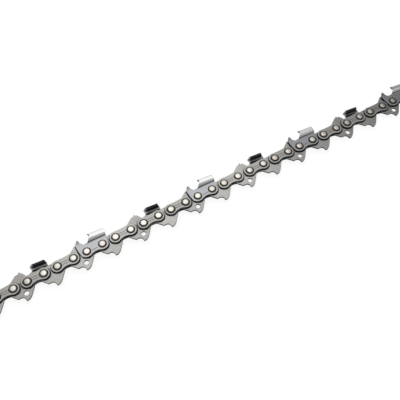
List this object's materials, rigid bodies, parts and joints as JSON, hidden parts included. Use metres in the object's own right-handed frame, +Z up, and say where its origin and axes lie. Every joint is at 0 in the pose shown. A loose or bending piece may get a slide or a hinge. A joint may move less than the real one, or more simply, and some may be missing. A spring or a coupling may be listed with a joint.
{
  "type": "chainsaw chain loop",
  "caption": "Closed loop of saw chain lying on its side: riveted drive links with tangs, left and right cutters and tie straps, every unit free to flex on its rivets.",
  "frame": {"origin": "middle of the loop, on the surface that it lies on", "axes": "+X along the long runs, +Y out through the run whose cutters face away from the loop's middle on that side, +Z up along the rivets"},
  "size_m": [0.391, 0.2076, 0.0066],
  "materials": {
    "link_steel": "satin rolled steel",
    "cutter_steel": "hard chrome over steel"
  },
  "bodies": {
    "tie_strap_unit_01": {"tie_strap_unit_01": "link_steel"},
    "right_cutter_unit_02": {"right_cutter_unit_02": "cutter_steel"},
    "tie_strap_unit_03": {"tie_strap_unit_03": "link_steel"},
    "left_cutter_unit_04": {"left_cutter_unit_04": "cutter_steel"},
    "tie_strap_unit_05": {"tie_strap_unit_05": "link_steel"},
    "right_cutter_unit_06": {"right_cutter_unit_06": "cutter_steel"},
    "tie_strap_unit_07": {"tie_strap_unit_07": "link_steel"},
    "left_cutter_unit_08": {"left_cutter_unit_08": "cutter_steel"},
    "tie_strap_unit_09": {"tie_strap_unit_09": "link_steel"},
    "right_cutter_unit_10": {"right_cutter_unit_10": "cutter_steel"},
    "tie_strap_unit_11": {"tie_strap_unit_11": "link_steel"},
    "left_cutter_unit_12": {"left_cutter_unit_12": "cutter_steel"},
    "tie_strap_unit_13": {"tie_strap_unit_13": "link_steel"},
    "right_cutter_unit_14": {"right_cutter_unit_14": "cutter_steel"},
    "tie_strap_unit_15": {"tie_strap_unit_15": "link_steel"},
    "left_cutter_unit_16": {"left_cutter_unit_16": "cutter_steel"},
    "tie_strap_unit_17": {"tie_strap_unit_17": "link_steel"},
    "right_cutter_unit_18": {"right_cutter_unit_18": "cutter_steel"},
    "tie_strap_unit_19": {"tie_strap_unit_19": "link_steel"},
    "left_cutter_unit_20": {"left_cutter_unit_20": "cutter_steel"},
    "tie_strap_unit_21": {"tie_strap_unit_21": "link_steel"},
    "right_cutter_unit_22": {"right_cutter_unit_22": "cutter_steel"},
    "tie_strap_unit_23": {"tie_strap_unit_23": "link_steel"},
    "left_cutter_unit_24": {"left_cutter_unit_24": "cutter_steel"},
    "tie_strap_unit_25": {"tie_strap_unit_25": "link_steel"},
    "right_cutter_unit_26": {"right_cutter_unit_26": "cutter_steel"},
    "tie_strap_unit_27": {"tie_strap_unit_27": "link_steel"},
    "left_cutter_unit_28": {"left_cutter_unit_28": "cutter_steel"},
    "tie_strap_unit_29": {"tie_strap_unit_29": "link_steel"},
    "right_cutter_unit_30": {"right_cutter_unit_30": "cutter_steel"},
    "tie_strap_unit_31": {"tie_strap_unit_31": "link_steel"},
    "left_cutter_unit_32": {"left_cutter_unit_32": "cutter_steel"},
    "tie_strap_unit_33": {"tie_strap_unit_33": "link_steel"},
    "right_cutter_unit_34": {"right_cutter_unit_34": "cutter_steel"},
    "tie_strap_unit_35": {"tie_strap_unit_35": "link_steel"},
    "left_cutter_unit_36": {"left_cutter_unit_36": "cutter_steel"},
    "tie_strap_unit_37": {"tie_strap_unit_37": "link_steel"},
    "right_cutter_unit_38": {"right_cutter_unit_38": "cutter_steel"},
    "tie_strap_unit_39": {"tie_strap_unit_39": "link_steel"},
    "left_cutter_unit_40": {"left_cutter_unit_40": "cutter_steel"},
    "tie_strap_unit_41": {"tie_strap_unit_41": "link_steel"},
    "right_cutter_unit_42": {"right_cutter_unit_42": "cutter_steel"},
    "tie_strap_unit_43": {"tie_strap_unit_43": "link_steel"},
    "left_cutter_unit_44": {"left_cutter_unit_44": "cutter_steel"},
    "tie_strap_unit_45": {"tie_strap_unit_45": "link_steel"},
    "right_cutter_unit_46": {"right_cutter_unit_46": "cutter_steel"},
    "tie_strap_unit_47": {"tie_strap_unit_47": "link_steel"},
    "left_cutter_unit_48": {"left_cutter_unit_48": "cutter_steel"},
    "tie_strap_unit_49": {"tie_strap_unit_49": "link_steel"},
    "right_cutter_unit_50": {"right_cutter_unit_50": "cutter_steel"},
    "tie_strap_unit_51": {"tie_strap_unit_51": "link_steel"},
    "left_cutter_unit_52": {"left_cutter_unit_52": "cutter_steel"},
    "tie_strap_unit_53": {"tie_strap_unit_53": "link_steel"},
    "right_cutter_unit_54": {"right_cutter_unit_54": "cutter_steel"},
    "tie_strap_unit_55": {"tie_strap_unit_55": "link_steel"},
    "left_cutter_unit_56": {"left_cutter_unit_56": "cutter_steel"}
  },
  "joints": [
    {"name": "pivot_08_09", "type": "hinge", "parent": "left_cutter_unit_08", "child": "tie_strap_unit_09", "pos_m": [0.00037, 0.09395, 0.0033], "axis": [0, 0, 1], "range_deg": [-15, 15]},
    {"name": "pivot_09_10", "type": "hinge", "parent": "tie_strap_unit_09", "child": "right_cutter_unit_10", "pos_m": [0.01901, 0.09393, 0.0033], "axis": [0, 0, 1], "range_deg": [-7.5, 7.5]},
    {"name": "pivot_10_11", "type": "hinge", "parent": "right_cutter_unit_10", "child": "tie_strap_unit_11", "pos_m": [0.03765, 0.09387, 0.0033], "axis": [0, 0, 1], "range_deg": [-15, 15]},
    {"name": "pivot_11_12", "type": "hinge", "parent": "tie_strap_unit_11", "child": "left_cutter_unit_12", "pos_m": [0.05629, 0.09378, 0.0033], "axis": [0, 0, 1], "range_deg": [-15, 15]},
    {"name": "pivot_12_13", "type": "hinge", "parent": "left_cutter_unit_12", "child": "tie_strap_unit_13", "pos_m": [0.07493, 0.09366, 0.0033], "axis": [0, 0, 1], "range_deg": [-15, 15]},
    {"name": "pivot_13_14", "type": "hinge", "parent": "tie_strap_unit_13", "child": "right_cutter_unit_14", "pos_m": [0.09357, 0.0935, 0.0033], "axis": [0, 0, 1], "range_deg": [-15, 15]},
    {"name": "pivot_14_15", "type": "hinge", "parent": "right_cutter_unit_14", "child": "tie_strap_unit_15", "pos_m": [0.11221, 0.09332, 0.0033], "axis": [0, 0, 1], "range_deg": [-15, 15]},
    {"name": "pivot_15_16", "type": "hinge", "parent": "tie_strap_unit_15", "child": "left_cutter_unit_16", "pos_m": [0.13085, 0.0931, 0.0033], "axis": [0, 0, 1], "range_deg": [-15, 15]},
    {"name": "pivot_16_17", "type": "hinge", "parent": "left_cutter_unit_16", "child": "tie_strap_unit_17", "pos_m": [0.14948, 0.09284, 0.0033], "axis": [0, 0, 1], "range_deg": [-12, 12]},
    {"name": "pivot_17_18", "type": "hinge", "parent": "tie_strap_unit_17", "child": "right_cutter_unit_18", "pos_m": [0.16684, 0.08638, 0.0033], "axis": [0, 0, 1], "range_deg": [-12, 12]},
    {"name": "pivot_18_19", "type": "hinge", "parent": "right_cutter_unit_18", "child": "tie_strap_unit_19", "pos_m": [0.17973, 0.07307, 0.0033], "axis": [0, 0, 1], "range_deg": [-12, 12]},
    {"name": "pivot_19_20", "type": "hinge", "parent": "tie_strap_unit_19", "child": "left_cutter_unit_20", "pos_m": [0.18564, 0.05551, 0.0033], "axis": [0, 0, 1], "range_deg": [-12, 12]},
    {"name": "pivot_20_21", "type": "hinge", "parent": "left_cutter_unit_20", "child": "tie_strap_unit_21", "pos_m": [0.18563, 0.03687, 0.0033], "axis": [0, 0, 1], "range_deg": [-15, 15]},
    {"name": "pivot_21_22", "type": "hinge", "parent": "tie_strap_unit_21", "child": "right_cutter_unit_22", "pos_m": [0.18562, 0.01823, 0.0033], "axis": [0, 0, 1], "range_deg": [-15, 15]},
    {"name": "pivot_22_23", "type": "hinge", "parent": "right_cutter_unit_22", "child": "tie_strap_unit_23", "pos_m": [0.18561, -0.00041, 0.0033], "axis": [0, 0, 1], "range_deg": [-7.5, 7.5]},
    {"name": "pivot_23_24", "type": "hinge", "parent": "tie_strap_unit_23", "child": "left_cutter_unit_24", "pos_m": [0.1856, -0.01905, 0.0033], "axis": [0, 0, 1], "range_deg": [-15, 15]},
    {"name": "pivot_24_25", "type": "hinge", "parent": "left_cutter_unit_24", "child": "tie_strap_unit_25", "pos_m": [0.1856, -0.03769, 0.0033], "axis": [0, 0, 1], "range_deg": [-7.5, 7.5]},
    {"name": "pivot_25_26", "type": "hinge", "parent": "tie_strap_unit_25", "child": "right_cutter_unit_26", "pos_m": [0.18559, -0.05633, 0.0033], "axis": [0, 0, 1], "range_deg": [-12, 12]},
    {"name": "pivot_26_27", "type": "hinge", "parent": "right_cutter_unit_26", "child": "tie_strap_unit_27", "pos_m": [0.17936, -0.07378, 0.0033], "axis": [0, 0, 1], "range_deg": [-12, 12]},
    {"name": "pivot_27_28", "type": "hinge", "parent": "tie_strap_unit_27", "child": "left_cutter_unit_28", "pos_m": [0.16622, -0.08684, 0.0033], "axis": [0, 0, 1], "range_deg": [-12, 12]},
    {"name": "pivot_28_29", "type": "hinge", "parent": "left_cutter_unit_28", "child": "tie_strap_unit_29", "pos_m": [0.14875, -0.09298, 0.0033], "axis": [0, 0, 1], "range_deg": [-12, 12]},
    {"name": "pivot_29_30", "type": "hinge", "parent": "tie_strap_unit_29", "child": "right_cutter_unit_30", "pos_m": [0.13011, -0.09322, 0.0033], "axis": [0, 0, 1], "range_deg": [-15, 15]},
    {"name": "pivot_30_31", "type": "hinge", "parent": "right_cutter_unit_30", "child": "tie_strap_unit_31", "pos_m": [0.11147, -0.09342, 0.0033], "axis": [0, 0, 1], "range_deg": [-15, 15]},
    {"name": "pivot_31_32", "type": "hinge", "parent": "tie_strap_unit_31", "child": "left_cutter_unit_32", "pos_m": [0.09283, -0.09359, 0.0033], "axis": [0, 0, 1], "range_deg": [-15, 15]},
    {"name": "pivot_32_33", "type": "hinge", "parent": "left_cutter_unit_32", "child": "tie_strap_unit_33", "pos_m": [0.07419, -0.09373, 0.0033], "axis": [0, 0, 1], "range_deg": [-15, 15]},
    {"name": "pivot_33_34", "type": "hinge", "parent": "tie_strap_unit_33", "child": "right_cutter_unit_34", "pos_m": [0.05555, -0.09383, 0.0033], "axis": [0, 0, 1], "range_deg": [-15, 15]},
    {"name": "pivot_34_35", "type": "hinge", "parent": "right_cutter_unit_34", "child": "tie_strap_unit_35", "pos_m": [0.03691, -0.09391, 0.0033], "axis": [0, 0, 1], "range_deg": [-15, 15]},
    {"name": "pivot_07_08", "type": "hinge", "parent": "left_cutter_unit_08", "child": "tie_strap_unit_07", "pos_m": [-0.01827, 0.09395, 0.0033], "axis": [0, 0, 1], "range_deg": [-7.5, 7.5]},
    {"name": "pivot_06_07", "type": "hinge", "parent": "tie_strap_unit_07", "child": "right_cutter_unit_06", "pos_m": [-0.03691, 0.09391, 0.0033], "axis": [0, 0, 1], "range_deg": [-15, 15]},
    {"name": "pivot_05_06", "type": "hinge", "parent": "right_cutter_unit_06", "child": "tie_strap_unit_05", "pos_m": [-0.05555, 0.09383, 0.0033], "axis": [0, 0, 1], "range_deg": [-15, 15]},
    {"name": "pivot_04_05", "type": "hinge", "parent": "tie_strap_unit_05", "child": "left_cutter_unit_04", "pos_m": [-0.07419, 0.09373, 0.0033], "axis": [0, 0, 1], "range_deg": [-15, 15]},
    {"name": "pivot_03_04", "type": "hinge", "parent": "left_cutter_unit_04", "child": "tie_strap_unit_03", "pos_m": [-0.09283, 0.09359, 0.0033], "axis": [0, 0, 1], "range_deg": [-15, 15]},
    {"name": "pivot_02_03", "type": "hinge", "parent": "tie_strap_unit_03", "child": "right_cutter_unit_02", "pos_m": [-0.11147, 0.09342, 0.0033], "axis": [0, 0, 1], "range_deg": [-15, 15]},
    {"name": "pivot_01_02", "type": "hinge", "parent": "right_cutter_unit_02", "child": "tie_strap_unit_01", "pos_m": [-0.13011, 0.09322, 0.0033], "axis": [0, 0, 1], "range_deg": [-15, 15]},
    {"name": "pivot_56_01", "type": "hinge", "parent": "tie_strap_unit_01", "child": "left_cutter_unit_56", "pos_m": [-0.14875, 0.09298, 0.0033], "axis": [0, 0, 1], "range_deg": [-12, 12]},
    {"name": "pivot_55_56", "type": "hinge", "parent": "left_cutter_unit_56", "child": "tie_strap_unit_55", "pos_m": [-0.16622, 0.08684, 0.0033], "axis": [0, 0, 1], "range_deg": [-12, 12]},
    {"name": "pivot_54_55", "type": "hinge", "parent": "tie_strap_unit_55", "child": "right_cutter_unit_54", "pos_m": [-0.17936, 0.07378, 0.0033], "axis": [0, 0, 1], "range_deg": [-12, 12]},
    {"name": "pivot_53_54", "type": "hinge", "parent": "right_cutter_unit_54", "child": "tie_strap_unit_53", "pos_m": [-0.18559, 0.05633, 0.0033], "axis": [0, 0, 1], "range_deg": [-12, 12]},
    {"name": "pivot_52_53", "type": "hinge", "parent": "tie_strap_unit_53", "child": "left_cutter_unit_52", "pos_m": [-0.1856, 0.03769, 0.0033], "axis": [0, 0, 1], "range_deg": [-7.5, 7.5]},
    {"name": "pivot_51_52", "type": "hinge", "parent": "left_cutter_unit_52", "child": "tie_strap_unit_51", "pos_m": [-0.1856, 0.01905, 0.0033], "axis": [0, 0, 1], "range_deg": [-15, 15]},
    {"name": "pivot_50_51", "type": "hinge", "parent": "tie_strap_unit_51", "child": "right_cutter_unit_50", "pos_m": [-0.18561, 0.00041, 0.0033], "axis": [0, 0, 1], "range_deg": [-7.5, 7.5]},
    {"name": "pivot_49_50", "type": "hinge", "parent": "right_cutter_unit_50", "child": "tie_strap_unit_49", "pos_m": [-0.18562, -0.01823, 0.0033], "axis": [0, 0, 1], "range_deg": [-15, 15]},
    {"name": "pivot_48_49", "type": "hinge", "parent": "tie_strap_unit_49", "child": "left_cutter_unit_48", "pos_m": [-0.18563, -0.03687, 0.0033], "axis": [0, 0, 1], "range_deg": [-15, 15]},
    {"name": "pivot_47_48", "type": "hinge", "parent": "left_cutter_unit_48", "child": "tie_strap_unit_47", "pos_m": [-0.18564, -0.05551, 0.0033], "axis": [0, 0, 1], "range_deg": [-12, 12]},
    {"name": "pivot_46_47", "type": "hinge", "parent": "tie_strap_unit_47", "child": "right_cutter_unit_46", "pos_m": [-0.17973, -0.07307, 0.0033], "axis": [0, 0, 1], "range_deg": [-12, 12]},
    {"name": "pivot_45_46", "type": "hinge", "parent": "right_cutter_unit_46", "child": "tie_strap_unit_45", "pos_m": [-0.16684, -0.08638, 0.0033], "axis": [0, 0, 1], "range_deg": [-12, 12]},
    {"name": "pivot_44_45", "type": "hinge", "parent": "tie_strap_unit_45", "child": "left_cutter_unit_44", "pos_m": [-0.14948, -0.09284, 0.0033], "axis": [0, 0, 1], "range_deg": [-12, 12]},
    {"name": "pivot_43_44", "type": "hinge", "parent": "left_cutter_unit_44", "child": "tie_strap_unit_43", "pos_m": [-0.13085, -0.0931, 0.0033], "axis": [0, 0, 1], "range_deg": [-15, 15]},
    {"name": "pivot_42_43", "type": "hinge", "parent": "tie_strap_unit_43", "child": "right_cutter_unit_42", "pos_m": [-0.11221, -0.09332, 0.0033], "axis": [0, 0, 1], "range_deg": [-15, 15]},
    {"name": "pivot_41_42", "type": "hinge", "parent": "right_cutter_unit_42", "child": "tie_strap_unit_41", "pos_m": [-0.09357, -0.0935, 0.0033], "axis": [0, 0, 1], "range_deg": [-15, 15]},
    {"name": "pivot_40_41", "type": "hinge", "parent": "tie_strap_unit_41", "child": "left_cutter_unit_40", "pos_m": [-0.07493, -0.09366, 0.0033], "axis": [0, 0, 1], "range_deg": [-15, 15]},
    {"name": "pivot_39_40", "type": "hinge", "parent": "left_cutter_unit_40", "child": "tie_strap_unit_39", "pos_m": [-0.05629, -0.09378, 0.0033], "axis": [0, 0, 1], "range_deg": [-15, 15]},
    {"name": "pivot_38_39", "type": "hinge", "parent": "tie_strap_unit_39", "child": "right_cutter_unit_38", "pos_m": [-0.03765, -0.09387, 0.0033], "axis": [0, 0, 1], "range_deg": [-15, 15]},
    {"name": "pivot_37_38", "type": "hinge", "parent": "right_cutter_unit_38", "child": "tie_strap_unit_37", "pos_m": [-0.01901, -0.09393, 0.0033], "axis": [0, 0, 1], "range_deg": [-7.5, 7.5]},
    {"name": "pivot_36_37", "type": "hinge", "parent": "tie_strap_unit_37", "child": "left_cutter_unit_36", "pos_m": [-0.00037, -0.09395, 0.0033], "axis": [0, 0, 1], "range_deg": [-15, 15]}
  ],
  "couplings": [
    {"joint": "pivot_02_03", "follows": "pivot_01_02", "ratio": -1},
    {"joint": "pivot_29_30", "follows": "pivot_01_02", "ratio": -1},
    {"joint": "pivot_30_31", "follows": "pivot_01_02", "ratio": 1},
    {"joint": "pivot_03_04", "follows": "pivot_04_05", "ratio": -1},
    {"joint": "pivot_32_33", "follows": "pivot_04_05", "ratio": -1},
    {"joint": "pivot_31_32", "follows": "pivot_04_05", "ratio": 1},
    {"joint": "pivot_06_07", "follows": "pivot_05_06", "ratio": -1},
    {"joint": "pivot_33_34", "follows": "pivot_05_06", "ratio": -1},
    {"joint": "pivot_34_35", "follows": "pivot_05_06", "ratio": 1},
    {"joint": "pivot_07_08", "follows": "pivot_08_09", "ratio": 0.5},
    {"joint": "pivot_09_10", "follows": "pivot_08_09", "ratio": -0.5},
    {"joint": "pivot_36_37", "follows": "pivot_08_09", "ratio": -1},
    {"joint": "pivot_37_38", "follows": "pivot_08_09", "ratio": 0.5},
    {"joint": "pivot_11_12", "follows": "pivot_10_11", "ratio": -1},
    {"joint": "pivot_38_39", "follows": "pivot_10_11", "ratio": -1},
    {"joint": "pivot_39_40", "follows": "pivot_10_11", "ratio": 1},
    {"joint": "pivot_12_13", "follows": "pivot_13_14", "ratio": -1},
    {"joint": "pivot_41_42", "follows": "pivot_13_14", "ratio": -1},
    {"joint": "pivot_40_41", "follows": "pivot_13_14", "ratio": 1},
    {"joint": "pivot_15_16", "follows": "pivot_14_15", "ratio": -1},
    {"joint": "pivot_42_43", "follows": "pivot_14_15", "ratio": -1},
    {"joint": "pivot_43_44", "follows": "pivot_14_15", "ratio": 1},
    {"joint": "pivot_25_26", "follows": "pivot_16_17", "ratio": -1},
    {"joint": "pivot_44_45", "follows": "pivot_16_17", "ratio": -1},
    {"joint": "pivot_53_54", "follows": "pivot_16_17", "ratio": 1},
    {"joint": "pivot_26_27", "follows": "pivot_17_18", "ratio": -1},
    {"joint": "pivot_45_46", "follows": "pivot_17_18", "ratio": -1},
    {"joint": "pivot_54_55", "follows": "pivot_17_18", "ratio": 1},
    {"joint": "pivot_27_28", "follows": "pivot_18_19", "ratio": -1},
    {"joint": "pivot_46_47", "follows": "pivot_18_19", "ratio": -1},
    {"joint": "pivot_55_56", "follows": "pivot_18_19", "ratio": 1},
    {"joint": "pivot_28_29", "follows": "pivot_19_20", "ratio": -1},
    {"joint": "pivot_47_48", "follows": "pivot_19_20", "ratio": -1},
    {"joint": "pivot_56_01", "follows": "pivot_19_20", "ratio": 1},
    {"joint": "pivot_21_22", "follows": "pivot_20_21", "ratio": -1},
    {"joint": "pivot_48_49", "follows": "pivot_20_21", "ratio": -1},
    {"joint": "pivot_49_50", "follows": "pivot_20_21", "ratio": 1},
    {"joint": "pivot_22_23", "follows": "pivot_23_24", "ratio": -0.5},
    {"joint": "pivot_24_25", "follows": "pivot_23_24", "ratio": -0.5},
    {"joint": "pivot_51_52", "follows": "pivot_23_24", "ratio": -1},
    {"joint": "pivot_50_51", "follows": "pivot_23_24", "ratio": 0.5},
    {"joint": "pivot_52_53", "follows": "pivot_23_24", "ratio": 0.5}
  ]
}
